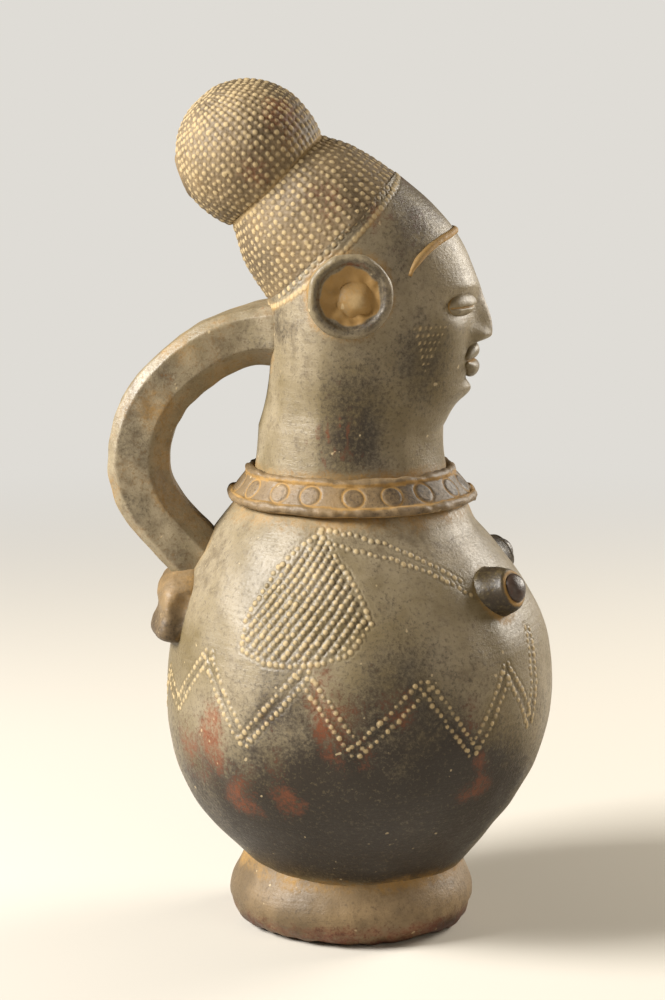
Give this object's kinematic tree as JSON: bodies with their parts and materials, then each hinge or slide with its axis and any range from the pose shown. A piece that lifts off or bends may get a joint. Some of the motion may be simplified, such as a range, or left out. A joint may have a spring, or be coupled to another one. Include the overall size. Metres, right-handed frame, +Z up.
{
  "type": "figural clay jar",
  "caption": "Hand-built fired-clay jar shaped as a figure: round belly on a ring foot, collared neck, head with a leaning bound coiffure and bun, loop handle and applied features.",
  "frame": {"origin": "middle of the overall box, on the surface that the foot ring stands on", "axes": "+Z up along the jar, +X the way the face looks, +Y to the figure's left"},
  "size_m": [0.1644, 0.145, 0.3151],
  "materials": {
    "olive_clay": "burnished, smoke-fired grey-olive brown",
    "smoked_clay": "burnished, smoke-blackened brown",
    "ochre_clay": "fired clay with ochre dust in its hollows",
    "dark_clay": "polished near-black clay"
  },
  "bodies": {
    "root": {"foot_ring": "smoked_clay", "belly": "olive_clay", "neck": "olive_clay", "collar_band": "ochre_clay", "head": "olive_clay", "coiffure": "smoked_clay", "bun": "smoked_clay", "handle": "olive_clay", "back_lug": "ochre_clay", "ear_disc_left": "olive_clay", "ear_disc_right": "olive_clay", "ear_stud_left": "ochre_clay", "ear_stud_right": "ochre_clay", "breast_left": "smoked_clay", "breast_right": "smoked_clay", "nipple_left": "dark_clay", "nipple_right": "dark_clay", "eye_left": "ochre_clay", "eye_right": "ochre_clay", "upper_lip": "olive_clay", "lower_lip": "olive_clay", "forehead_fillet": "ochre_clay"}
  },
  "joints": []
}
